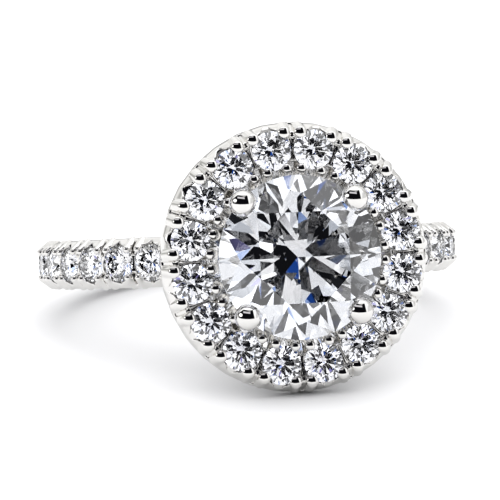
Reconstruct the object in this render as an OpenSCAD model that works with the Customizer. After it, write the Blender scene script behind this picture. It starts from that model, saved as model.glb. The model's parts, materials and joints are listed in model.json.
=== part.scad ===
/* [Finger hole and band] */
// Diameter of the finger hole
finger_d = 16.5; // [14:0.1:21]
// Thickness of the band from the finger hole to its outside
band_t = 1.6; // [1.4:0.05:2.4]
// Width of the band along the finger
band_w = 2.15; // [2:0.05:3.5]
// Chamfer along the outer edges of the band
band_edge = 0.34; // [0.2:0.01:0.4]
// Chamfer at both mouths of the finger hole
bore_edge = 0.1; // [0.04:0.01:0.2]

/* [Stones in the band] */
// Diameter of a band stone
band_stone_d = 1.55; // [1.2:0.01:1.6]
// Gap between neighbouring band stones
band_stone_gap = 0.12; // [0.08:0.01:0.3]
// Band stones on each side of the head
band_stones_per_side = 8; // [4:1:8]
// Angle from the middle of the head to the middle of the first band stone
band_first_angle = 23.7; // [22:0.1:30]
// How far a band stone's girdle lies below the outside of the band
band_stone_sink = 0.1; // [0.06:0.01:0.25]
// Distance from the band's middle line to the tips of its prongs
band_prong_reach = 0.6; // [0.55:0.01:0.7]

/* [Centre stone] */
// Diameter of the centre stone
center_d = 6.5; // [5:0.1:8]
// Height of the centre stone's girdle above the outside of the band
center_rise = 3.75; // [3.6:0.05:5]
// Turn of the centre stone in its seat
center_turn = 22.5; // [0:0.5:45]

/* [Cut of the stones] */
// Table corners as a share of the girdle's radius
table_share = 0.59; // [0.53:0.01:0.63]
// Slope of the crown's main facets
crown_angle = 34.5; // [31:0.5:37]
// Slope of the pavilion's main facets
pavilion_angle = 40.8; // [39:0.2:43]
// Reach of the star facets from the table's edge towards the girdle, as a share
star_share = 0.5; // [0.4:0.01:0.6]
// Reach of the lower half facets from the girdle towards the culet, as a share
lower_share = 0.77; // [0.7:0.01:0.85]
// Thickness of the girdle at the main facets, as a share of the stone's diameter
girdle_share = 0.026; // [0.022:0.001:0.04]

/* [Halo] */
// Diameter of a halo stone
halo_stone_d = 1.58; // [1.3:0.01:1.9]
// Least gap between neighbouring halo stones
halo_stone_gap = 0.08; // [0.06:0.01:0.2]
// Metal between the centre stone's edge and the halo stones, seen from the front
halo_rim = 0.29; // [0.24:0.01:0.5]
// Depth of the halo stones' girdles below the centre stone's girdle
halo_drop = 0.55; // [0.5:0.01:1]
// Reach of the halo's metal in under the centre stone's edge
halo_lip = 0.25; // [0.1:0.01:0.35]
// Depth of the halo's sloping outer wall
halo_wall_h = 0.55; // [0.45:0.01:0.8]
// Depth of the halo's metal below the ends of its stones
halo_floor = 0.45; // [0.3:0.05:0.8]
// Diameter of the domed prongs on the halo's outer wall
petal_d = 0.44; // [0.34:0.01:0.46]
// Width of the grooves that split each pair of prongs
groove_w = 0.18; // [0.1:0.01:0.2]

/* [Prongs and basket] */
// Diameter of the balls that hold the centre stone
ball_d = 1.02; // [0.8:0.02:1.3]
// Height of the middle of a ball above the centre stone's girdle
ball_rise = 0.29; // [0.2:0.01:0.4]
// Distance of the middle of a ball in from the centre stone's edge
ball_inset = 0.1; // [0:0.01:0.2]
// Diameter of the posts under the balls
post_d = 0.8; // [0.6:0.02:1]
// Radius of the circle on which the posts meet the band
post_foot_r = 1.7; // [1.4:0.05:1.9]
// Diameter of the wire of the ring that ties the posts together
gallery_wire_d = 0.7; // [0.5:0.05:0.9]
// Height of the middle of that wire above the outside of the band
gallery_rise = 1.1; // [0.7:0.05:1.2]

/* [Fits] */
// Clearance between each stone and its seat
seat_gap = 0.02; // [0.01:0.005:0.04]

/* [Hidden] */
curve_steps = 48;
bar_share = 0.94;
prong_count = 4;
main_count = 8;
main_step = 360 / main_count;
half_step = main_step / 2;
quarter_step = half_step / 2;
melee_turn = 17;
two_digits = 10;

// Measures of a round brilliant of unit radius, from the middle of its girdle
girdle_h = girdle_share;
star_r = table_share * cos(half_step) * (1 - star_share) + star_share;
table_h = girdle_h + (1 - table_share) * tan(crown_angle);
star_h = girdle_h + (1 - star_r * cos(half_step)) * tan(crown_angle);
lower_r = 1 - lower_share;
lower_h = girdle_h + (1 - lower_r * cos(half_step)) * tan(pavilion_angle);
culet_h = girdle_h + tan(pavilion_angle);
crown_dip = (star_h - girdle_h) / (1 - star_r) / cos(quarter_step);
pavilion_dip = (lower_h - girdle_h) / (1 - lower_r) / cos(quarter_step);

// Band
bore_r = finger_d / 2;
band_r = bore_r + band_t;
band_stone_r = band_r - band_stone_sink;
band_step = 2 * asin((band_stone_d + band_stone_gap) / 2 / band_stone_r);
band_stone_count = 2 * band_stones_per_side;
band_prong_d = 0.36;
band_prong_rise = 0.04;
band_prong_drop = 0.42;
band_prong_margin = 0.12;
band_prong_foot = band_w / 2 - band_prong_margin;
band_prong_length = norm([band_prong_foot - band_prong_reach, band_prong_drop + band_prong_rise]);
band_prong_slope = atan2(band_prong_foot - band_prong_reach, band_prong_drop + band_prong_rise);
band_prong_offset = (band_prong_d + groove_w) / 2;
band_groove_depth = 0.45;
band_notch_side = 0.6;
band_notch_rise = 0.3;

// Head, measured along its axis from the middle of the finger hole
girdle_z = band_r + center_rise;
center_r = center_d / 2;
halo_stone_r = halo_stone_d / 2;
halo_r = center_r + halo_rim + halo_stone_r;
halo_count = floor(180 / asin((halo_stone_d + halo_stone_gap) / 2 / halo_r));
halo_step = 360 / halo_count;
halo_z = girdle_z - halo_drop;

// Halo
petal_r = petal_d / 2;
petal_tip_reach = 0.57;
petal_foot_reach = 0.98;
petal_tip_rise = 0.12;
petal_tip_r = halo_r + petal_tip_reach;
petal_foot_r = halo_r + petal_foot_reach;
petal_tip_z = halo_z + petal_tip_rise;
petal_foot_z = petal_tip_z - halo_wall_h;
petal_offset = (petal_d + groove_w) / 2;
petal_proud = 0.05;
petal_end_h = 0.08;
wall_inset = 0.08;
wall_lip_w = 0.1;
wall_edge_h = 0.12;
wall_top_r = petal_tip_r - wall_inset;
wall_top_z = petal_tip_z;
wall_foot_r = petal_foot_r + petal_r - petal_proud;
wall_foot_z = petal_foot_z - petal_end_h;
flat_depth = 0.05;
rim_w = 0.12;
rim_rise = 0.15;
bed_sink = 0.1;
halo_in_r = center_r - halo_lip;
halo_in_taper = 0.4;
halo_in_top_z = halo_z + rim_rise;
halo_bed_z = halo_z - bed_sink;
halo_bed_in_r = halo_r - halo_stone_r + rim_w;
halo_bottom_z = halo_z - culet_h * halo_stone_r - halo_floor;
halo_bottom_overhang = 0.1;
halo_bottom_r = halo_r + halo_bottom_overhang;
outer_notch_side = 0.6;
inner_notch_side = 0.44;
notch_rise = 0.2;
azure_r = 0.28;
spare = 1;

// Prongs and basket
ball_place_r = center_r - ball_inset;
ball_z = girdle_z + ball_rise;
post_foot_sink = 0.5;
post_foot_z = band_r - post_foot_sink;
post_length = norm([ball_place_r - post_foot_r, ball_z - post_foot_z]);
post_slope = atan2(ball_place_r - post_foot_r, ball_z - post_foot_z);
gallery_z = band_r + gallery_rise;
gallery_r = post_foot_r + (gallery_z - post_foot_z) * tan(post_slope);

// The ring lies on the lower edge of the halo's wall and on the lower edge at the band's back
lean = atan((wall_foot_r - band_w / 2) / (band_r - band_edge + wall_foot_z - wall_edge_h));
lift = (band_r - band_edge) * sin(lean) + band_w / 2 * cos(lean);
table_flat_r = table_share * center_r * cos(half_step);
front_y = (girdle_z + table_h * center_r) * cos(lean) + table_flat_r * sin(lean);
back_y = band_r * cos(lean) + (band_w / 2 - band_edge) * sin(lean);
middle_y = (front_y - back_y) / 2;

function numbered(name, i) = str(name, i < two_digits ? "_0" : "_", i);

// Places what is drawn with Z along the finger hole as the ring lies
module lying() {
    translate([0, middle_y, lift])
        rotate([-lean, 0, 0])
            children();
}

// Turns what is drawn with Z along the head's axis into the ring
module on_head() {
    rotate([90, 0, 0])
        children();
}

// Places a stone, or its seat, in the halo
module at_halo_stone(i) {
    rotate([0, 0, (i - 0.5) * halo_step])
        translate([halo_r, 0, halo_z])
            children();
}

// Angle of band stone i from the head: the first half run down one side, the rest down the other
function band_stone_angle(i) =
    i <= band_stones_per_side
        ? -band_first_angle - (i - 1) * band_step
        : band_first_angle + (i - 1 - band_stones_per_side) * band_step;

// Places what is drawn with Z outwards at an angle round the band
module at_band(angle, r) {
    rotate([0, 0, angle])
        translate([0, -r, 0])
            on_head()
                children();
}

// A point on a circle
function around(r, angle, z) = [r * cos(angle), r * sin(angle), z];

// How far the round girdle bulges past the chord between two main points
function bulge(angle) =
    cos(angle - half_step * floor(angle / half_step) - quarter_step) - cos(quarter_step);

// A round brilliant with its girdle at z = 0, cut in flat facets, with a round girdle
module brilliant(d, girdle_parts) {
    r = d / 2;
    n = 2 * main_count * girdle_parts;
    sector = 2 * girdle_parts;
    table_0 = 0;
    star_0 = main_count;
    upper_0 = 2 * main_count;
    lower_0 = upper_0 + n;
    mid_0 = lower_0 + n;
    culet = mid_0 + main_count;
    last = main_count - 1;
    points = concat(
        [for (k = [0:last]) around(r * table_share, k * main_step, r * table_h)],
        [for (k = [0:last]) around(r * star_r, (k + 0.5) * main_step, r * star_h)],
        [for (i = [0:n - 1])
            let (a = i * half_step / girdle_parts)
                around(r, a, r * (girdle_h - crown_dip * bulge(a)))],
        [for (i = [0:n - 1])
            let (a = i * half_step / girdle_parts)
                around(r, a, -r * (girdle_h - pavilion_dip * bulge(a)))],
        [for (k = [0:last]) around(r * lower_r, (k + 0.5) * main_step, -r * lower_h)],
        [[0, 0, -r * culet_h]]
    );
    table = [for (k = [last:-1:0]) table_0 + k];
    stars = [for (k = [0:last]) [table_0 + k, table_0 + (k + 1) % main_count, star_0 + k]];
    kites = [for (k = [0:last])
        [table_0 + k, star_0 + k, upper_0 + k * sector, star_0 + (k + last) % main_count]];
    upper_halves = [for (k = [0:last], side = [0, 1])
        concat([star_0 + k], [for (j = [girdle_parts:-1:0])
            upper_0 + (k * sector + side * girdle_parts + j) % n])];
    girdle = [for (i = [0:n - 1])
        [upper_0 + i, upper_0 + (i + 1) % n, lower_0 + (i + 1) % n, lower_0 + i]];
    lower_halves = [for (k = [0:last], side = [0, 1])
        concat([mid_0 + k], [for (j = [0:girdle_parts])
            lower_0 + (k * sector + side * girdle_parts + j) % n])];
    mains = [for (k = [0:last])
        [culet, mid_0 + (k + last) % main_count, lower_0 + k * sector, mid_0 + k]];
    polyhedron(
        points = points,
        faces = concat([table], stars, kites, upper_halves, girdle, lower_halves, mains),
        convexity = 1
    );
}

// The room that a brilliant needs all round, with its clearance, for cutting its seat
module seat_room(d) {
    r = d / 2;
    crown_run = (table_h - star_h) * (1 - star_r) / (star_h - girdle_h);
    pavilion_fall = lower_r * (lower_h - girdle_h) / (1 - lower_r);
    rotate_extrude($fn = curve_steps)
        polygon([
            [0, r * table_h + seat_gap],
            [r * (star_r - crown_run) + seat_gap, r * table_h + seat_gap],
            [r + seat_gap, r * girdle_h + seat_gap],
            [r + seat_gap, -r * girdle_h - seat_gap],
            [0, -r * (lower_h + pavilion_fall) - 2 * seat_gap],
        ]);
}

// A round bar along Z that ends in a slightly thicker dome
module domed_bar(length, r) {
    cylinder(r = r * bar_share, h = length, $fn = curve_steps);
    translate([0, 0, length])
        sphere(r = r, $fn = curve_steps);
}

// The plain band, with its finger hole
module band() {
    rotate_extrude($fn = curve_steps)
        polygon([
            [bore_r + bore_edge, -band_w / 2],
            [band_r - band_edge, -band_w / 2],
            [band_r, -band_w / 2 + band_edge],
            [band_r, band_w / 2 - band_edge],
            [band_r - band_edge, band_w / 2],
            [bore_r + bore_edge, band_w / 2],
            [bore_r, band_w / 2 - bore_edge],
            [bore_r, -band_w / 2 + bore_edge],
        ]);
}

// The halo's tray: shallow flats round a sloping outer wall, and inside it a bed and a rim
module halo_tray() {
    flats_r = (wall_foot_r - flat_depth) / cos(halo_step / 2);
    intersection() {
        rotate_extrude($fn = curve_steps)
            polygon([
                [halo_in_r, halo_in_top_z],
                [halo_bed_in_r, halo_in_top_z],
                [halo_bed_in_r, halo_bed_z],
                [wall_top_r - wall_lip_w, halo_bed_z],
                [wall_top_r, wall_top_z],
                [wall_foot_r, wall_foot_z],
                [wall_foot_r, wall_foot_z - wall_edge_h],
                [halo_bottom_r, halo_bottom_z],
                [halo_in_r - halo_in_taper, halo_bottom_z],
            ]);
        translate([0, 0, halo_bottom_z - spare])
            linear_extrude(height = wall_top_z - halo_bottom_z + 2 * spare)
                polygon([for (i = [0:halo_count - 1])
                    [flats_r * cos(i * halo_step), flats_r * sin(i * halo_step)]]);
    }
}

// The domed prongs on the halo's outer wall, a pair at each gap between stones
module petals() {
    rise = petal_tip_z - petal_foot_z;
    run = petal_foot_r - petal_tip_r;
    for (i = [0:halo_count - 1], side = [-1, 1])
        rotate([0, 0, i * halo_step])
            translate([petal_foot_r, side * petal_offset, petal_foot_z])
                rotate([0, -atan2(run, rise), 0])
                    domed_bar(norm([rise, run]), petal_r);
}

// A square cutter along X that stands on its edge and starts at the origin
module notch(side, length) {
    rotate([45, 0, 0])
        translate([0, -side / 2, -side / 2])
            cube([length, side, side]);
}

// Seats, back holes, notches on both sides of the stones and grooves between the prongs
module halo_cuts() {
    for (i = [1:halo_count])
        at_halo_stone(i) {
            seat_room(halo_stone_d);
            translate([0, 0, halo_bottom_z - halo_z - spare])
                cylinder(r = azure_r, h = halo_floor + azure_r + spare, $fn = curve_steps);
            translate([0, 0, notch_rise])
                notch(outer_notch_side, halo_stone_d);
            translate([-halo_stone_d, 0, notch_rise])
                notch(inner_notch_side, halo_stone_d);
        }
    for (i = [0:halo_count - 1])
        rotate([0, 0, i * halo_step])
            translate([halo_in_r, -groove_w / 2, petal_foot_z])
                cube([petal_foot_r + petal_d - halo_in_r, groove_w, halo_wall_h + petal_d]);
}

// Four posts from the band to the balls, and the wire ring that ties them
module basket() {
    for (i = [0:prong_count - 1])
        rotate([0, 0, (i + 0.5) * 360 / prong_count]) {
            translate([post_foot_r, 0, post_foot_z])
                rotate([0, post_slope, 0])
                    cylinder(d = post_d, h = post_length, $fn = curve_steps);
            translate([ball_place_r, 0, ball_z])
                sphere(d = ball_d, $fn = curve_steps);
        }
    translate([0, 0, gallery_z])
        rotate_extrude($fn = curve_steps)
            translate([gallery_r, 0])
                circle(d = gallery_wire_d, $fn = curve_steps);
}

// The domed prongs along both edges of the band, a pair at each gap between stones
module band_prongs() {
    for (side = [-1, 1], i = [0:band_stones_per_side], half = [-1, 1], edge = [-1, 1])
        at_band(side * (band_first_angle + (i - 0.5) * band_step), band_r - band_prong_drop)
            translate([half * band_prong_offset, edge * band_prong_foot, 0])
                rotate([edge * band_prong_slope, 0, 0])
                    domed_bar(band_prong_length, band_prong_d / 2);
}

// Seats, side notches and grooves along the band
module band_cuts() {
    for (i = [1:band_stone_count])
        at_band(band_stone_angle(i), band_stone_r) {
            seat_room(band_stone_d);
            translate([0, -band_w, band_notch_rise])
                rotate([0, 0, 90])
                    notch(band_notch_side, 2 * band_w);
        }
    for (side = [-1, 1], i = [0:band_stones_per_side])
        at_band(side * (band_first_angle + (i - 0.5) * band_step), band_r - band_groove_depth)
            translate([-groove_w / 2, -band_w, 0])
                cube([groove_w, 2 * band_w, 2 * band_groove_depth]);
}

// The soldered metal: band, basket and halo
module mounting() {
    color("gainsboro")
        lying() {
            difference() {
                union() {
                    band();
                    band_prongs();
                }
                band_cuts();
            }
            on_head()
                difference() {
                    union() {
                        basket();
                        difference() {
                            union() {
                                halo_tray();
                                petals();
                            }
                            halo_cuts();
                        }
                    }
                    translate([0, 0, girdle_z])
                        seat_room(center_d);
                }
        }
}

module center_stone() {
    color("lightsteelblue")
        lying()
            on_head()
                translate([0, 0, girdle_z])
                    rotate([0, 0, center_turn])
                        brilliant(center_d, 4);
}

module halo_stone(i) {
    color("aliceblue")
        lying()
            on_head()
                at_halo_stone(i)
                    rotate([0, 0, i * melee_turn])
                        brilliant(halo_stone_d, 2);
}

module band_stone(i) {
    color("azure")
        lying()
            at_band(band_stone_angle(i), band_stone_r)
                rotate([0, 0, i * melee_turn])
                    brilliant(band_stone_d, 2);
}

mounting();
center_stone();
for (i = [1:halo_count])
    halo_stone(i);
for (i = [1:band_stone_count])
    band_stone(i);
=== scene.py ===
import json
import math

import bpy
import numpy as np
from mathutils import Matrix, Vector


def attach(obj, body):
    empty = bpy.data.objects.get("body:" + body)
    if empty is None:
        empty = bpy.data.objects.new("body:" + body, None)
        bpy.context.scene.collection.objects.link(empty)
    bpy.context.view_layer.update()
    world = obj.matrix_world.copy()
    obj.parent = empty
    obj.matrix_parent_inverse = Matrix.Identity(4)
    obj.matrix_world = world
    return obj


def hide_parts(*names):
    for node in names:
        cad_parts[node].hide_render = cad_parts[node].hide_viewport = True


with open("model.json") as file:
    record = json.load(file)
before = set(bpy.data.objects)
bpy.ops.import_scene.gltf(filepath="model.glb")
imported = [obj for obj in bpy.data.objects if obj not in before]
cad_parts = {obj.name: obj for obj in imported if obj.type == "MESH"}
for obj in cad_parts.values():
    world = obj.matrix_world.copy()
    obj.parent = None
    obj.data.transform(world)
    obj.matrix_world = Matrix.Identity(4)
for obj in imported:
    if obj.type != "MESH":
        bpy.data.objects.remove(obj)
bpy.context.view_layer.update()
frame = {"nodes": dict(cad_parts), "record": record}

nodes = frame["nodes"]
MM = 0.001

# Where the ring lies, from its finger bore. RING takes the ring's own axes to the frame, with Z
# along the finger hole and the head at -Y. HEAD takes the head's own axes, with Z out of the head.
bore = next(m for m in frame["record"]["mounts"] if m["name"] == "finger_bore")
lean = math.atan2(bore["axis"][1], bore["axis"][2])
RING = Matrix.Translation(bore["pos_m"]) @ Matrix.Rotation(-lean, 4, "X")
HEAD = RING @ Matrix.Rotation(math.pi / 2, 4, "X")

# The camera as the photograph shows it, measured from the ring's own axes. The focal length and the
# frame's width are in pixels of the photograph, and the sensor's width is in millimetres.
CAMERA_TURN = math.radians(8.945)
CAMERA_TIP = math.radians(0.702)
CAMERA_ROLL = math.radians(-2.818)
CAMERA_SHIFT = Vector((-0.136, 0.225, 71.76)) * MM
FOCAL_PIXELS = 1481.6
FRAME_PIXELS = 500
SENSOR_WIDTH = 36
CLIP_NEAR = 0.001
CLIP_FAR = 10

# Light paths: a cut stone needs many bounces
STONE_BOUNCES = 24
MIRROR_BOUNCES = 6

# Floor and lamp, in metres and watts
WHITE = (1, 1, 1, 1)
FLOOR_SIZE = 3.0
FLOOR_COLOR = (0.93, 0.93, 0.935, 1)
# Painted shade: the floor's darker grey where metal mirrors it
FLOOR_IN_METAL = (0.70, 0.70, 0.70, 1)
FLOOR_ROUGHNESS = 0.7
FLOOR_SPECULAR = 0.2
MOTTLE_SHARE = 0.985
MOTTLE_SCALE = 60.0
SOFT_BOX_SIZE = 0.2
SOFT_BOX_POWER = 0.05
SOFT_BOX_PLACE = Vector((0.02, -0.02, 0.26))

# The tent as metal sees it. A direction is named by the place where a polished ball mirrors it
# towards the photographer: side and up are shares of the ball's radius, to the right of the ball's
# middle and above it. A middle is such a place, as side and up. Any other pair of numbers says where
# a form or a change of tone starts and ends.
TENT_RISE = (-0.3, 0.7)
TENT_LOW = (0.87, 0.86, 0.845, 1)
TENT_HIGH = (1.04, 1.05, 1.07, 1)

# The dark opening on the photographer's side: a slanted shape with one corner cut off
OPENING_SIDE = (-0.70, 0.42)
OPENING_UP = (-0.30, 0.55)
OPENING_SLANT = 0.2
CORNER_SLANT = -0.8
CORNER_UP = 0.86
OPENING_EDGE = 0.012
OPENING_COLOR = (0.006, 0.006, 0.008, 1)

# A pale streak and a small bright spot in the opening, and a grey screen to the right of it
STREAK_SIDE = (-0.38, 0.13)
STREAK_UP = (0.28, 0.40)
STREAK_SLANT = 0.12
STREAK_EDGE = 0.02
STREAK_COLOR = (0.62, 0.61, 0.64, 1)
SPOT_MIDDLE = (-0.55, 0.17)
SPOT_EDGE = (0.10, 0.135)
SPOT_COLOR = (1.6, 1.6, 1.6, 1)
SCREEN_SIDE = (0.52, 0.97)
SCREEN_SIDE_EDGE = 0.04
SCREEN_UP = (-0.12, 0.38)
SCREEN_UP_EDGE = 0.05
SCREEN_SHARE = 0.8
SCREEN_COLOR = (0.55, 0.55, 0.56, 1)

# Behind the ring the tent has soft grey patches, paler towards the top, and then a plain backdrop
PATCHES_FROM = (0.68, 0.80)
PATCH_SCALE = 3.0
PATCH_EDGE = (0.42, 0.58)
PATCH_DARK = (0.39, 0.39, 0.38, 1)
PATCH_PALE = (0.68, 0.68, 0.67, 1)
PATCH_FADE = (0.3, 0.8)
PATCH_FADE_SHARE = 0.62
BACKDROP_FROM = (0.94, 0.99)
BACKDROP_COLOR = (0.34, 0.34, 0.335, 1)

# The tent as the floor's light has it, and as the stones see it. For them it is made of panels, and
# each draws a number from 0 to 1. Its tone is the last one below that starts under its number.
DIFFUSE_TENT = (1.3, 1.3, 1.31, 1)
PANEL_SCALE = 9.0
PANELS = [
    (0.0, (1.9, 1.9, 1.92, 1)),
    (0.36, (1.36, 1.38, 1.42, 1)),
    (0.60, (0.78, 0.80, 0.84, 1)),
    (0.76, (0.03, 0.032, 0.036, 1)),
    (0.83, (0.03, 0.11, 0.42, 1)),
    (0.90, (0.48, 0.64, 1.05, 1)),
    (0.96, (0.36, 0.33, 0.66, 1)),
]
LENS_MIDDLE = (0.14, 0.05)
LENS_EDGE = (0.25, 0.28)
LENS_COLOR = (0.014, 0.0145, 0.017, 1)

# White gold: slow waves in its polish, in tone and in relief, and a fine grain in its gloss
GOLD_WARM = (0.90, 0.885, 0.86, 1)
GOLD_COOL = (0.93, 0.925, 0.915, 1)
WAVE_SCALE = 900.0
WAVE_STRENGTH = 0.25
WAVE_HEIGHT = 0.00001
GRAIN_SCALE = 9000.0
GRAIN_EDGE = (0.35, 0.75)
GOLD_ROUGHNESS = (0.015, 0.06)

# Diamond: a clear tint, a cooler one painted on some facets as a stand-in for the coloured flashes of
# fire, and the share of the facets that have the cooler one
DIAMOND_IOR = 2.42
FACET_SNAP = (0.03, 0.03, 0.03)
CENTER_TINT = ((0.79, 0.795, 0.81, 1), (0.74, 0.765, 0.81, 1), 0.25)
SMALL_TINT = (WHITE, (0.94, 0.95, 1, 1), 0.3)

# Sizes of the metal in millimetres, from here on. The stones' room comes first, as shares of a
# stone's radius and slopes of its cut.
CROWN_SLOPE = math.tan(math.radians(34.5))
PAVILION_SLOPE = math.tan(math.radians(40.8))
TABLE_SHARE = 0.59
GIRDLE_SHARE = 0.026
SEAT_GAP = 0.02

# How widely edges and joins are rounded, from the finest to the broadest
EDGE_HAIR = 0.03
EDGE_FINE = 0.04
EDGE_SMALL = 0.05
EDGE_MEDIUM = 0.06
EDGE_WIDE = 0.08
EDGE_BROAD = 0.12
WIRE_FILLET = 0.15
INNER_DOME = 0.15
PETAL_DOME = 0.2

# The band and its stones. Gaps are the places between stones, and have a pair of prongs on each edge.
BORE_R = bore["dims"]["r_mm"]
BAND_THICKNESS = 1.6
BAND_R = BORE_R + BAND_THICKNESS
BAND_HALF_W = 1.075
BAND_EDGE = 0.34
BORE_EDGE = 0.1
BAND_STONE_R = 0.775
BAND_STONE_SINK = 0.1
BAND_STONE_PLACE = BAND_R - BAND_STONE_SINK
BAND_HALF_GAP = 0.06
BAND_STEP = 2 * math.asin((BAND_STONE_R + BAND_HALF_GAP) / BAND_STONE_PLACE)
BAND_FIRST = math.radians(23.7)
STONES_PER_SIDE = 8

# A prong's ends, as distances along the band, across it, and out from the ring's middle
BAND_PRONG_FOOT = (0.27, BAND_HALF_W - 0.13, BAND_R - 0.42)
BAND_PRONG_TIP = (0.27, 0.6, BAND_R + 0.04)
BAND_PRONG_FOOT_R = 0.19
BAND_PRONG_TIP_R = 0.175

# What is cut out of the band: a notch across it at each stone, and a groove between paired prongs
BAND_NOTCH_RISE = 0.3
BAND_NOTCH_REACH = 0.3
BAND_GROOVE_HALF_W = 0.06
BAND_GROOVE_DEPTH = 0.24
BAND_GROOVE_START = 0.4

# The head: the girdle of the centre stone is at GIRDLE_Z, and those of the halo's are at HALO_Z
CENTER_R = 3.25
HEAD_RISE = 3.75
GIRDLE_Z = BAND_R + HEAD_RISE
HALO_COUNT = 16
HALO_STEP = 2 * math.pi / HALO_COUNT
HALO_STONE_R = 0.79
HALO_GAP = 0.29
HALO_R = CENTER_R + HALO_GAP + HALO_STONE_R
HALO_DROP = 0.55
HALO_Z = GIRDLE_Z - HALO_DROP

# The halo's outer prongs, or petals, and its small inner ones. Their ends are distances out along
# the middle of a gap between stones, to its side, and up.
PETAL_TIP = (HALO_R + 0.62, 0.335, HALO_Z + 0.06)
PETAL_FOOT = (HALO_R + 0.85, 0.31, HALO_Z - 0.40)
PETAL_TIP_R = 0.265
PETAL_FOOT_R = 0.25
PETAL_TOP_Z = HALO_Z + 0.27
INNER_TIP = (HALO_R - 0.82, 0.30, HALO_Z + 0.15)
INNER_FOOT = (HALO_R - 0.98, 0.28, HALO_Z - 0.5)
INNER_R = 0.215
INNER_TOP_Z = HALO_Z + 0.325

# The halo's section, as distances out from the head's axis and up
WALL_TOP = (HALO_R + 0.83, HALO_Z + 0.02)
WALL_MIDDLE = (HALO_R + 1.04, HALO_Z - 0.31)
WALL_FOOT = (HALO_R + 1.13, HALO_Z - 0.6)
WALL_EDGE_H = 0.25
TRAY_BOTTOM = (HALO_R + 0.1, HALO_Z - 1.155)
TRAY_IN_TOP = (CENTER_R - 0.25, HALO_Z + 0.05)
TRAY_IN_TAPER = 0.4
RIM_LOW = (CENTER_R - 0.1, HALO_Z - 0.75)
RIM_HIGH = (HALO_R - 0.5, HALO_Z + 0.03)
BED_Z = HALO_Z - 0.02
FACET_DEPTH = 0.03

# What is cut out of the halo: at each stone a flat cut in the wall, a notch in the inner rim and a
# hole behind, and in each gap a slot down the wall and a groove on top
CUT_TOP = (HALO_R + 0.79, HALO_Z - 0.14)
CUT_END = (HALO_R + 1.05, HALO_Z - 0.29)
CUT_HALF_W = 0.21
CUT_TAPER = 0.2
SLOT_HALF_W = 0.07
SLOT_DEPTH = 0.14
SLOT_END_Z = HALO_Z - 0.5
GROOVE_RISE = 0.05
GROOVE_REACH = 0.14
GROOVE_HALF_L = 0.42
NOTCH_RISE = 0.2
NOTCH_REACH = 0.2
HOLE_R = 0.28
HOLE_DROP = 0.4

# The basket, with places as distances out from the head's axis and up
BALL_R = 0.55
BALL_PLACE = (CENTER_R - 0.1, GIRDLE_Z + 0.29)
POST_COUNT = 4
POST_R = 0.4
POST_FOOT = (1.7, BAND_R - 0.5)
GALLERY = (2.21, BAND_R + 1.1)
GALLERY_R = 0.35

# The grids that the metal is meshed on. The band's rises above the band, for its prongs, and is fine
# only along its stones, from FINE_REACH steps before the first to as many after the last.
HALO_CELL = 0.038
BASKET_CELL = 0.05
BAND_CELL = 0.055
BAND_GRID_RISE = 0.2
FINE_REACH = 1.1
PLAIN_BAND_STEP = math.radians(1.2)
GRID_MARGIN = 0.1

# How the grid's points are pulled onto the metal's surface
GRADIENT_STEP = 0.002
SETTLE_ROUNDS = 3
LEAST_STEEPNESS = 0.25
MOST_PULL = 0.02
MOST_TRIANGLES = 190000


def link_object(name, data):
    """A new object in the scene."""
    piece = bpy.data.objects.new(name, data)
    bpy.context.scene.collection.objects.link(piece)
    return piece


# Distance fields: each is negative inside the metal and positive outside
def smooth_min(a, b, soft):
    """The lower of two fields, with a fillet where they meet."""
    h = np.clip(0.5 + 0.5 * (b - a) / soft, 0, 1)
    return b + (a - b) * h - soft * h * (1 - h)


def smooth_max(a, b, soft):
    """The higher of two fields, with a rounded edge where they meet."""
    return -smooth_min(-a, -b, soft)


def slope(r, z, a, b):
    """Distance in section from the line through a and b, positive on the left of the way to b."""
    dr, dz = b[0] - a[0], b[1] - a[1]
    return ((z - a[1]) * dr - (r - a[0]) * dz) / math.hypot(dr, dz)


def bar(x, y, z, a, b, r_a, r_b):
    """Distance from a tapered bar with round ends at a and b."""
    way = [q - p for p, q in zip(a, b)]
    along = (x - a[0]) * way[0] + (y - a[1]) * way[1] + (z - a[2]) * way[2]
    share = np.clip(along / sum(c * c for c in way), 0, 1)
    off_x = x - a[0] - share * way[0]
    off_y = y - a[1] - share * way[1]
    off_z = z - a[2] - share * way[2]
    return np.sqrt(off_x ** 2 + off_y ** 2 + off_z ** 2) - (r_a + (r_b - r_a) * share)


def stone_room(r, z, stone_r):
    """Roughly the distance from the room that a round stone needs, with its clearance."""
    edge_r = stone_r + SEAT_GAP
    girdle = GIRDLE_SHARE * stone_r + SEAT_GAP
    crown = (z - girdle + (r - edge_r) * CROWN_SLOPE) / math.hypot(1, CROWN_SLOPE)
    pavilion = (-z - girdle + (r - edge_r) * PAVILION_SLOPE) / math.hypot(1, PAVILION_SLOPE)
    table = z - stone_r * ((1 - TABLE_SHARE) * CROWN_SLOPE + GIRDLE_SHARE) - SEAT_GAP
    return np.maximum(np.maximum(crown, pavilion), np.maximum(table, r - edge_r))


def notch(across, up, reach):
    """Distance from a square groove that stands on its edge."""
    return (np.abs(across) + np.abs(up)) / math.sqrt(2) - reach


def wall_cut(r, side, z):
    """Distance from a flat cut beside a stone, that narrows to a point where it ends on the wall."""
    reach = CUT_END[0] - CUT_TOP[0]
    over = -slope(r, z, CUT_TOP, CUT_END)
    beside = (side * reach - (CUT_END[0] - r) * CUT_HALF_W) / math.hypot(reach, CUT_HALF_W)
    beside = beside - CUT_TAPER * (z - CUT_END[1])
    return np.maximum(np.maximum(over, beside), HALO_R - r)


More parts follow.
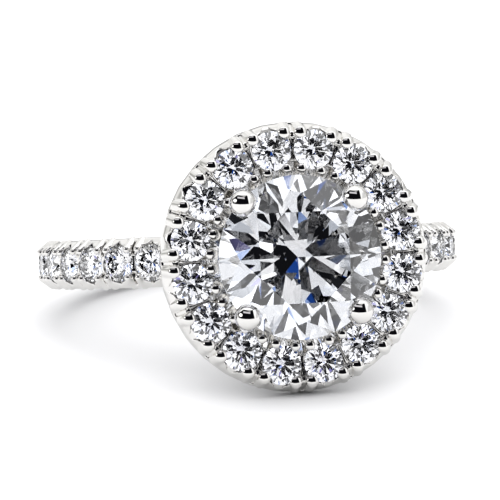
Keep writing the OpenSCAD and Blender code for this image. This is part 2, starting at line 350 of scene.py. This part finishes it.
def halo_wall(r, z, from_gap):
    """The outside of the halo, with a faint facet on each side of a gap, and its upper chamfer."""
    facet = r * np.cos(from_gap - HALO_STEP / 4) + FACET_DEPTH
    faceted_r = smooth_max(r, facet, EDGE_HAIR)
    chamfer = slope(faceted_r, z, WALL_TOP, WALL_MIDDLE)
    wall = smooth_max(chamfer, slope(faceted_r, z, WALL_MIDDLE, WALL_FOOT), EDGE_MEDIUM)
    return smooth_max(wall, faceted_r - WALL_FOOT[0], EDGE_BROAD), chamfer


def halo_tray(wall, r, z):
    """The halo inside its wall: its sloped underside, its bed for the stones, and its two rims."""
    wall_bottom = (WALL_FOOT[0], WALL_FOOT[1] - WALL_EDGE_H)
    under = smooth_max(-slope(r, z, TRAY_BOTTOM, wall_bottom), TRAY_BOTTOM[1] - z, EDGE_WIDE)
    tray = smooth_max(wall, under, EDGE_SMALL)
    in_bottom = (TRAY_IN_TOP[0] - TRAY_IN_TAPER, TRAY_BOTTOM[1])
    tray = smooth_max(tray, slope(r, z, in_bottom, TRAY_IN_TOP), EDGE_WIDE)
    rim_in = np.maximum(z - TRAY_IN_TOP[1], r - HALO_R)
    rim_out = np.maximum(z - WALL_TOP[1], HALO_R - r)
    top = np.minimum(np.minimum(z - BED_Z, rim_in), rim_out)
    return smooth_max(tray, top, EDGE_MEDIUM)


def halo_field(x, y, z):
    """The halo: a tray with a faceted wall, seats, and pairs of domed prongs outside and inside."""
    r = np.hypot(x, y)
    from_gap = np.abs(np.mod(np.arctan2(y, x) + HALO_STEP / 2, HALO_STEP) - HALO_STEP / 2)
    from_stone = HALO_STEP / 2 - from_gap
    gap_x, gap_y = r * np.cos(from_gap), r * np.sin(from_gap)
    stone_x, stone_y = r * np.cos(from_stone), r * np.sin(from_stone)
    stone_away = np.hypot(stone_x - HALO_R, stone_y)
    up = z - HALO_Z

    wall, chamfer = halo_wall(r, z, from_gap)
    tray = smooth_max(halo_tray(wall, r, z), -wall_cut(stone_x, stone_y, z), EDGE_MEDIUM)
    tray = smooth_max(tray, slope(r, z, RIM_LOW, RIM_HIGH), EDGE_MEDIUM)

    petal = bar(gap_x, gap_y, z, PETAL_FOOT, PETAL_TIP, PETAL_FOOT_R, PETAL_TIP_R)
    petal = smooth_max(petal, z - PETAL_TOP_Z, PETAL_DOME)
    inner = bar(gap_x, gap_y, z, INNER_FOOT, INNER_TIP, INNER_R, INNER_R)
    inner = smooth_max(inner, z - INNER_TOP_Z, INNER_DOME)
    metal = smooth_min(smooth_min(tray, petal, EDGE_SMALL), inner, EDGE_FINE)

    slot = np.maximum(np.maximum(gap_y - SLOT_HALF_W, -chamfer - SLOT_DEPTH), SLOT_END_Z - z)
    metal = smooth_max(metal, -slot, EDGE_SMALL)
    metal = smooth_max(metal, -stone_room(stone_away, up, HALO_STONE_R), EDGE_FINE)
    hole = np.maximum(stone_away - HOLE_R, up + HOLE_DROP)
    metal = smooth_max(metal, -hole, EDGE_SMALL)
    rim_notch = np.maximum(notch(stone_y, up - NOTCH_RISE, NOTCH_REACH), stone_x - HALO_R)
    metal = smooth_max(metal, -rim_notch, EDGE_SMALL)
    groove = notch(gap_y, up - GROOVE_RISE, GROOVE_REACH)
    groove = np.maximum(groove, np.abs(gap_x - HALO_R) - GROOVE_HALF_L)
    return smooth_max(metal, -groove, EDGE_SMALL)


def basket_field(x, y, z):
    """The basket: four posts that end in balls, and the wire ring that ties them."""
    r = np.hypot(x, y)
    step = 2 * math.pi / POST_COUNT
    from_post = np.abs(np.mod(np.arctan2(y, x), step) - step / 2)
    post_x, post_y = r * np.cos(from_post), r * np.sin(from_post)
    foot = (POST_FOOT[0], 0, POST_FOOT[1])
    top = (BALL_PLACE[0], 0, BALL_PLACE[1])
    posts = bar(post_x, post_y, z, foot, top, POST_R, POST_R)
    posts = smooth_max(posts, POST_FOOT[1] - z, EDGE_FINE)
    balls = np.sqrt((post_x - top[0]) ** 2 + post_y ** 2 + (z - top[2]) ** 2) - BALL_R
    wire = np.hypot(r - GALLERY[0], z - GALLERY[1]) - GALLERY_R
    metal = smooth_min(smooth_min(posts, balls, EDGE_MEDIUM), wire, WIRE_FILLET)
    return smooth_max(metal, -stone_room(r, z - GIRDLE_Z, CENTER_R), EDGE_HAIR)


def band_body(r, across):
    """The plain band: a flat bar bent round, with its outer and inner edges bevelled."""
    outside = smooth_max(r - BAND_R, across - BAND_HALF_W, EDGE_HAIR)
    bevel = (r - BAND_R + across - BAND_HALF_W + BAND_EDGE) / math.sqrt(2)
    bore_bevel = (BORE_R - r + across - BAND_HALF_W + BORE_EDGE) / math.sqrt(2)
    inside = smooth_max(BORE_R - r, bore_bevel, EDGE_WIDE)
    return smooth_max(smooth_max(outside, bevel, EDGE_BROAD), inside, EDGE_HAIR)


def band_field(x, y, z):
    """The band: plain behind, and with seats and pairs of domed prongs along both sides."""
    r = np.hypot(x, y)
    along = np.abs(np.arctan2(x, -y)) - BAND_FIRST
    across = np.abs(z)

    gap = np.clip(np.round(along / BAND_STEP + 0.5), 0, STONES_PER_SIDE) - 0.5
    from_gap = along - gap * BAND_STEP
    gap_side, gap_up = np.abs(r * np.sin(from_gap)), r * np.cos(from_gap)
    prongs = bar(gap_side, across, gap_up, BAND_PRONG_FOOT, BAND_PRONG_TIP,
                 BAND_PRONG_FOOT_R, BAND_PRONG_TIP_R)
    metal = smooth_min(band_body(r, across), prongs, EDGE_FINE)

    stone = np.clip(np.round(along / BAND_STEP), 0, STONES_PER_SIDE - 1)
    from_stone = along - stone * BAND_STEP
    stone_side, stone_up = r * np.sin(from_stone), r * np.cos(from_stone) - BAND_STONE_PLACE
    seat = stone_room(np.hypot(stone_side, z), stone_up, BAND_STONE_R)
    metal = smooth_max(metal, -seat, EDGE_FINE)
    side_notch = notch(stone_side, stone_up - BAND_NOTCH_RISE, BAND_NOTCH_REACH)
    metal = smooth_max(metal, -side_notch, EDGE_SMALL)
    groove = np.maximum(gap_side - BAND_GROOVE_HALF_W, BAND_R - BAND_GROOVE_DEPTH - gap_up)
    groove = np.maximum(groove, BAND_GROOVE_START - across)
    return smooth_max(metal, -groove, EDGE_FINE)


def net_points(wrapped, cells):
    """A point in each grid cell that the surface crosses, and that point's number for the cell.

    The point is the mean of the places where the cell's twelve edges are crossed.
    """
    total = np.zeros((*cells, 3))
    count = np.zeros(cells)
    for axis in range(3):
        others = [other for other in range(3) if other != axis]
        for step_b in (0, 1):
            for step_c in (0, 1):
                low = [0, 0, 0]
                low[others[0]], low[others[1]] = step_b, step_c
                high = list(low)
                high[axis] = 1
                start = wrapped[tuple(slice(o, o + n) for o, n in zip(low, cells))]
                end = wrapped[tuple(slice(o, o + n) for o, n in zip(high, cells))]
                crossed = (start < 0) != (end < 0)
                share = np.where(crossed, start / np.where(crossed, start - end, 1), 0)
                count += crossed
                total[..., axis] += share
                total[..., others[0]] += crossed * step_b
                total[..., others[1]] += crossed * step_c
    used = count > 0
    index = np.full(cells, -1)
    index[used] = np.arange(used.sum())
    return np.argwhere(used) + total[used] / count[used][:, None], index


def net_quads(inside, cells, index):
    """A quad for each grid edge that the surface crosses, through the four cells round the edge."""
    quads = []
    for axis in range(3):
        b, c = (axis + 1) % 3, (axis + 2) % 3
        start = np.take(inside, range(cells[axis]), axis)
        end = np.take(inside, range(1, cells[axis] + 1), axis)
        edges = np.argwhere(start != end)
        keep = np.ones(len(edges), bool)
        for other in (b, c):
            keep &= edges[:, other] < cells[other]
            keep &= (edges[:, other] > 0) | (other == 0)
        edges = edges[keep]
        corners = []
        for back_b, back_c in ((0, 0), (1, 0), (1, 1), (0, 1)):
            cell = edges.copy()
            cell[:, b] -= back_b
            cell[:, c] -= back_c
            cell[:, 0] %= cells[0]
            corners.append(index[tuple(cell.T)])
        quad = np.stack(corners, 1)
        flip = ~start[tuple(edges.T)]
        quad[flip] = quad[flip][:, ::-1]
        quads.append(quad)
    return np.concatenate(quads)


def surface_net(field):
    """Points, in grid steps, and quads of the surface where a field is zero. Its first axis wraps."""
    wrapped = np.concatenate([field, field[:1]])
    cells = [size - 1 for size in wrapped.shape]
    points, index = net_points(wrapped, cells)
    return points, net_quads(wrapped < 0, cells, index)


def gradient(field, points):
    """Which way a field rises at each point, and how steeply."""
    parts = []
    for axis in range(3):
        shift = np.zeros(3)
        shift[axis] = GRADIENT_STEP
        rise = field(*(points + shift).T) - field(*(points - shift).T)
        parts.append(rise / (2 * GRADIENT_STEP))
    return np.stack(parts, 1)


def settle(field, points):
    """Points pulled onto the surface of a field."""
    for _ in range(SETTLE_ROUNDS):
        away = gradient(field, points)
        pull = field(*points.T) / np.maximum((away ** 2).sum(1), LEAST_STEEPNESS)
        points = points - np.clip(pull, -MOST_PULL, MOST_PULL)[:, None] * away
    return points


def thin_out(points, quads):
    """The same surface with fewer triangles: those on the flattest stretches are merged first."""
    mesh = bpy.data.meshes.new("dense")
    mesh.from_pydata(points.tolist(), [], quads.tolist())
    dense = link_object("dense", mesh)
    fewer = dense.modifiers.new("fewer", "DECIMATE")
    fewer.ratio = min(1, MOST_TRIANGLES / (2 * len(quads)))
    thinned = dense.evaluated_get(bpy.context.evaluated_depsgraph_get())
    thin = bpy.data.meshes.new_from_object(thinned)
    places = np.array([vertex.co for vertex in thin.vertices])
    faces = [tuple(face.vertices) for face in thin.polygons]
    bpy.data.objects.remove(dense)
    bpy.data.meshes.remove(mesh)
    bpy.data.meshes.remove(thin)
    return places, faces


def metal_piece(name, field, angles, radii, heights, axes):
    """A mesh of a field round its Z axis, thinned out, and pulled onto the field's own surface.

    The grid runs round, up and out, which is a right-handed order, so its faces point outwards.
    """
    def place(angle, height, radius):
        return radius * np.cos(angle), radius * np.sin(angle), height

    grid = np.meshgrid(angles, heights, radii, indexing="ij")
    steps, quads = surface_net(field(*place(*grid)))
    turned = np.append(angles, angles[0] + 2 * math.pi)
    points = np.stack(place(
        np.interp(steps[:, 0], np.arange(len(turned)), turned),
        np.interp(steps[:, 1], np.arange(len(heights)), heights),
        np.interp(steps[:, 2], np.arange(len(radii)), radii)), 1)
    points = settle(field, points)
    points, faces = thin_out(points, quads)
    points = settle(field, points)
    normals = gradient(field, points)
    normals /= np.linalg.norm(normals, axis=1)[:, None]

    turn = np.array(axes.to_3x3())
    mesh = bpy.data.meshes.new(name)
    mesh.from_pydata((points * MM @ turn.T + np.array(axes.translation)).tolist(), [], faces)
    mesh.shade_smooth()
    mesh.normals_split_custom_set_from_vertices((normals @ turn.T).tolist())
    piece = link_object(name, mesh)
    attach(piece, "root")
    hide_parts("mounting")
    return piece


def even(low, high, cell):
    """Evenly spaced values from low to high, about a cell apart."""
    return np.linspace(low, high, round((high - low) / cell) + 1)


def padded(low, high, cell):
    """Evenly spaced values that reach a margin beyond low and high."""
    return even(low - GRID_MARGIN, high + GRID_MARGIN, cell)


def round_angles(r, cell, folds):
    """Even angles round a circle, in a whole number for each fold of the pattern."""
    per_fold = round(2 * math.pi * r / cell / folds)
    return np.arange(folds * per_fold) * 2 * math.pi / (folds * per_fold)


def band_angles(cell):
    """Angles round the band: close together along the stones, far apart where it is plain."""
    fine_from = BAND_FIRST - FINE_REACH * BAND_STEP
    fine_to = BAND_FIRST + (STONES_PER_SIDE - 1 + FINE_REACH) * BAND_STEP
    side = even(fine_from, fine_to, cell / BAND_R)
    front = even(-fine_from, fine_from, PLAIN_BAND_STEP)[1:-1]
    back = even(fine_to, 2 * math.pi - fine_to, PLAIN_BAND_STEP)[1:-1]
    return np.concatenate([front, side, back, 2 * math.pi - side[::-1]]) - math.pi / 2


def metal():
    """The three pieces of metal that stand for the mounting."""
    halo = metal_piece(
        "halo_metal", halo_field, round_angles(HALO_R, HALO_CELL, HALO_COUNT),
        padded(TRAY_IN_TOP[0] - TRAY_IN_TAPER, WALL_FOOT[0], HALO_CELL),
        padded(TRAY_BOTTOM[1], PETAL_TIP[2] + PETAL_TIP_R, HALO_CELL), HEAD)
    basket = metal_piece(
        "basket_metal", basket_field, round_angles(BALL_PLACE[0], BASKET_CELL, POST_COUNT),
        padded(POST_FOOT[0] - POST_R, BALL_PLACE[0] + BALL_R, BASKET_CELL),
        padded(POST_FOOT[1], BALL_PLACE[1] + BALL_R, BASKET_CELL), HEAD)
    band = metal_piece(
        "band_metal", band_field, band_angles(BAND_CELL),
        padded(BORE_R, BAND_R + BAND_GRID_RISE, BAND_CELL),
        padded(-BAND_HALF_W, BAND_HALF_W, BAND_CELL), RING)
    return [halo, basket, band]


class Tree:
    """A short way to write node trees."""

    def __init__(self, owner):
        owner.use_nodes = True
        self.tree = owner.node_tree
        self.tree.nodes.clear()

    def node(self, kind, inputs=None, **settings):
        """A new node. Each of its inputs is a value, or the output that is linked to it."""
        made = self.tree.nodes.new(kind)
        for key, value in settings.items():
            setattr(made, key, value)
        for key, value in (inputs or {}).items():
            socket = made.inputs[key]
            if isinstance(value, bpy.types.NodeSocket):
                self.tree.links.new(value, socket)
            else:
                socket.default_value = value
        return made

    def math(self, operation, *values):
        """The output of a math node."""
        inputs = dict(enumerate(values))
        return self.node("ShaderNodeMath", inputs, operation=operation).outputs[0]

    def vector(self, operation, *values):
        """All outputs of a vector math node: the first is a vector, the one named Value a number."""
        inputs = dict(enumerate(values))
        return self.node("ShaderNodeVectorMath", inputs, operation=operation).outputs

    def ramp(self, value, bounds, results=(0.0, 1.0)):
        """A smooth step from the first result to the second, as a value goes between two bounds."""
        inputs = {
            "Value": value, "From Min": bounds[0], "From Max": bounds[1],
            "To Min": results[0], "To Max": results[1]}
        made = self.node("ShaderNodeMapRange", inputs, interpolation_type="SMOOTHSTEP")
        return made.outputs["Result"]

    def mix(self, factor, a, b):
        """A mix of two colours. Sockets 6 and 7 are the node's colour inputs."""
        return self.node("ShaderNodeMix", {0: factor, 6: a, 7: b}, data_type="RGBA").outputs[2]

    def fall(self, value, bounds):
        """1 below two bounds and 0 above them, with a smooth step between."""
        return self.ramp(value, bounds, (1.0, 0.0))

    def between(self, value, bounds, soft):
        """1 where a value lies between two bounds, 0 outside, with soft edges."""
        low, high = bounds
        above = self.ramp(value, (low - soft, low + soft))
        return self.math("MULTIPLY", above, self.fall(value, (high - soft, high + soft)))

    def distance(self, side, up, middle):
        """How far a place is from the middle of something round."""
        squares = []
        for value, start in zip((side, up), middle):
            squares.append(self.math("POWER", self.math("ADD", value, -start), 2.0))
        return self.math("SQRT", self.math("ADD", *squares))


def camera():
    """The photograph's camera, placed from the ring's own axes. Returns its right, up and back."""
    to_view = Matrix(((1, 0, 0), (0, 0, -1), (0, 1, 0)))
    turn = Matrix.Rotation(CAMERA_ROLL, 3, "Z") @ to_view
    turn = turn @ Matrix.Rotation(CAMERA_TIP, 3, "X") @ Matrix.Rotation(CAMERA_TURN, 3, "Z")
    back = turn.transposed()
    place = RING @ (back @ -CAMERA_SHIFT)
    axes = RING.to_3x3() @ back @ Matrix.Diagonal((1, -1, -1))
    cam = link_object("camera", bpy.data.cameras.new("camera"))
    cam.matrix_world = Matrix.Translation(place) @ axes.to_4x4()
    cam.data.sensor_width = SENSOR_WIDTH
    cam.data.lens = FOCAL_PIXELS / FRAME_PIXELS * SENSOR_WIDTH
    cam.data.clip_start = CLIP_NEAR
    cam.data.clip_end = CLIP_FAR
    bpy.context.scene.camera = cam
    return [tuple(axes.col[k]) for k in range(3)]


def floor():
    """A plain pale floor, painted a darker grey where metal mirrors it, as painted shade in the
    reflections.
    """
    half = FLOOR_SIZE / 2
    corners = [(-half, -half, 0), (half, -half, 0), (half, half, 0), (-half, half, 0)]
    mesh = bpy.data.meshes.new("floor")
    mesh.from_pydata(corners, [], [(0, 1, 2, 3)])
    plane = link_object("floor", mesh)
    material = bpy.data.materials.new("floor")
    t = Tree(material)
    noise = t.node("ShaderNodeTexNoise", {"Scale": MOTTLE_SCALE, "Detail": 3.0})
    mottle = tuple(MOTTLE_SHARE * c for c in FLOOR_COLOR[:3]) + (1,)
    color = t.mix(noise.outputs["Fac"], FLOOR_COLOR, mottle)
    path = t.node("ShaderNodeLightPath").outputs
    # Painted shade in reflections: glossy rays see the floor as a darker grey
    mirrored = t.math("SUBTRACT", path["Is Glossy Ray"], path["Is Transmission Ray"])
    color = t.mix(t.math("MAXIMUM", mirrored, 0.0), color, FLOOR_IN_METAL)
    shader = t.node("ShaderNodeBsdfPrincipled", {
        "Base Color": color, "Roughness": FLOOR_ROUGHNESS, "Specular IOR Level": FLOOR_SPECULAR})
    t.node("ShaderNodeOutputMaterial", {"Surface": shader.outputs[0]})
    mesh.materials.append(material)


def tent_in_metal(t, direction, side, up):
    """What metal sees: a white tent, grey behind, with a dark opening on the photographer's side."""
    screen = t.math("MULTIPLY", t.between(side, SCREEN_SIDE, SCREEN_SIDE_EDGE),
                    t.between(up, SCREEN_UP, SCREEN_UP_EDGE))
    tent = t.mix(t.ramp(up, TENT_RISE), TENT_LOW, TENT_HIGH)
    tent = t.mix(t.math("MULTIPLY", screen, SCREEN_SHARE), tent, SCREEN_COLOR)

    noise = t.node("ShaderNodeTexNoise", {"Vector": direction, "Scale": PATCH_SCALE, "Detail": 0.0})
    patches = t.mix(t.ramp(noise.outputs["Fac"], PATCH_EDGE), PATCH_DARK, PATCH_PALE)
    patches = t.mix(t.ramp(up, PATCH_FADE, (0.0, PATCH_FADE_SHARE)), patches, WHITE)
    from_middle = t.distance(side, up, (0, 0))
    tent = t.mix(t.ramp(from_middle, PATCHES_FROM), tent, patches)
    tent = t.mix(t.ramp(from_middle, BACKDROP_FROM), tent, BACKDROP_COLOR)

    slanted = t.math("MULTIPLY_ADD", up, OPENING_SLANT, side)
    opening = t.math("MULTIPLY", t.between(slanted, OPENING_SIDE, OPENING_EDGE),
                     t.between(up, OPENING_UP, OPENING_EDGE))
    corner = t.math("MULTIPLY_ADD", side, CORNER_SLANT, up)
    corner = t.fall(corner, (CORNER_UP - OPENING_EDGE, CORNER_UP + OPENING_EDGE))
    opening = t.math("MULTIPLY", opening, corner)
    streak = t.math("MULTIPLY_ADD", side, STREAK_SLANT, up)
    streak = t.math("MULTIPLY", t.between(streak, STREAK_UP, STREAK_EDGE),
                    t.between(side, STREAK_SIDE, STREAK_EDGE))
    seen = t.mix(opening, tent, t.mix(streak, OPENING_COLOR, STREAK_COLOR))
    spot = t.fall(t.distance(side, up, SPOT_MIDDLE), SPOT_EDGE)
    return t.mix(spot, seen, SPOT_COLOR)


def tent_in_stones(t, direction, side, up):
    """What the stones see: bright panels broken up by darker and coloured ones, and a dark lens."""
    panels = t.node("ShaderNodeTexVoronoi", {"Vector": direction, "Scale": PANEL_SCALE})
    chance = t.node("ShaderNodeSeparateColor", {0: panels.outputs["Color"]}).outputs[0]
    ramp = t.node("ShaderNodeValToRGB", {"Fac": chance})
    ramp.color_ramp.interpolation = "CONSTANT"
    stops = ramp.color_ramp.elements
    stops[0].color = PANELS[0][1]
    stops.remove(stops[1])
    for share, color in PANELS[1:]:
        stops.new(share).color = color
    lens = t.fall(t.distance(side, up, LENS_MIDDLE), LENS_EDGE)
    return t.mix(lens, ramp.outputs[0], LENS_COLOR)


def studio(right, above, back):
    """The tent, which metal, stones, the floor and the camera each see in their own way.

    The three arguments are the directions right, up and back of the photograph's camera. They stay
    fixed in the room when another camera looks at the ring.
    """
    world = bpy.data.worlds.new("tent")
    bpy.context.scene.world = world
    t = Tree(world)
    direction = t.node("ShaderNodeTexCoord").outputs["Generated"]
    halfway = t.vector("NORMALIZE", t.vector("ADD", direction, back)[0])[0]
    side = t.vector("DOT_PRODUCT", halfway, right)["Value"]
    up = t.vector("DOT_PRODUCT", halfway, above)["Value"]
    path = t.node("ShaderNodeLightPath").outputs
    seen = tent_in_metal(t, direction, side, up)
    seen = t.mix(path["Is Transmission Ray"], seen, tent_in_stones(t, direction, side, up))
    seen = t.mix(path["Is Diffuse Ray"], seen, DIFFUSE_TENT)
    seen = t.mix(path["Is Camera Ray"], seen, WHITE)
    background = t.node("ShaderNodeBackground", {"Color": seen, "Strength": 1.0})
    t.node("ShaderNodeOutputWorld", {"Surface": background.outputs[0]})


def soft_box():
    """A lamp over the ring, for the soft shadow on the floor."""
    box = bpy.data.lights.new("soft_box", "AREA")
    box.shape = "RECTANGLE"
    box.size = SOFT_BOX_SIZE
    box.size_y = SOFT_BOX_SIZE
    box.energy = SOFT_BOX_POWER
    lamp = link_object("soft_box", box)
    turn = SOFT_BOX_PLACE.to_track_quat("Z", "Y").to_matrix().to_4x4()
    lamp.matrix_world = Matrix.Translation(SOFT_BOX_PLACE) @ turn


def white_gold():
    """Polished white gold, a little uneven as hand polish leaves it."""
    material = bpy.data.materials.new("white_gold")
    t = Tree(material)
    place = t.node("ShaderNodeTexCoord").outputs["Object"]
    wave = t.node("ShaderNodeTexNoise", {"Vector": place, "Scale": WAVE_SCALE, "Detail": 2.0})
    grain = t.node("ShaderNodeTexNoise", {"Vector": place, "Scale": GRAIN_SCALE, "Detail": 3.0})
    color = t.mix(wave.outputs["Fac"], GOLD_WARM, GOLD_COOL)
    rough = t.ramp(grain.outputs["Fac"], GRAIN_EDGE, GOLD_ROUGHNESS)
    bump = t.node("ShaderNodeBump", {
        "Height": wave.outputs["Fac"], "Strength": WAVE_STRENGTH, "Distance": WAVE_HEIGHT})
    shader = t.node("ShaderNodeBsdfPrincipled", {
        "Base Color": color, "Metallic": 1.0, "Roughness": rough, "Normal": bump.outputs[0]})
    t.node("ShaderNodeOutputMaterial", {"Surface": shader.outputs[0]})
    return material


def diamond(name, clear, fire_tint, fire_share):
    """Clear stone whose facets are tinted a little, each by its own direction: painted flashes of
    fire, in place of the colours that dispersion splits out of the light.
    """
    material = bpy.data.materials.new(name)
    t = Tree(material)
    normal = t.node("ShaderNodeNewGeometry").outputs["True Normal"]
    snapped = t.vector("SNAP", normal, FACET_SNAP)[0]
    noise = t.node("ShaderNodeTexWhiteNoise", {"Vector": snapped}, noise_dimensions="3D")
    # Painted fire: facets picked by their direction get the cooler tint
    shows_fire = t.math("GREATER_THAN", noise.outputs["Value"], 1 - fire_share)
    shader = t.node("ShaderNodeBsdfPrincipled", {
        "Base Color": t.mix(shows_fire, clear, fire_tint), "Roughness": 0.0, "IOR": DIAMOND_IOR,
        "Transmission Weight": 1.0})
    t.node("ShaderNodeOutputMaterial", {"Surface": shader.outputs[0]})
    return material


def dress(node, material):
    """Gives a CAD node its material."""
    nodes[node].data.materials.clear()
    nodes[node].data.materials.append(material)


def tones():
    """The photograph's contrast, and light paths long enough for the stones."""
    scene = bpy.context.scene
    scene.view_settings.view_transform = "Standard"
    scene.view_settings.look = "Medium High Contrast"
    scene.cycles.max_bounces = STONE_BOUNCES
    scene.cycles.transmission_bounces = STONE_BOUNCES
    scene.cycles.glossy_bounces = MIRROR_BOUNCES
    scene.cycles.caustics_reflective = False
    scene.cycles.caustics_refractive = False


view_axes = camera()
floor()
studio(*view_axes)
soft_box()
tones()

gold = white_gold()
for piece in metal():
    piece.data.materials.append(gold)
dress("mounting", gold)
dress("center_stone", diamond("center_diamond", *CENTER_TINT))
small = diamond("small_diamond", *SMALL_TINT)
for name in nodes:
    if "_stone_" in name:
        dress(name, small)
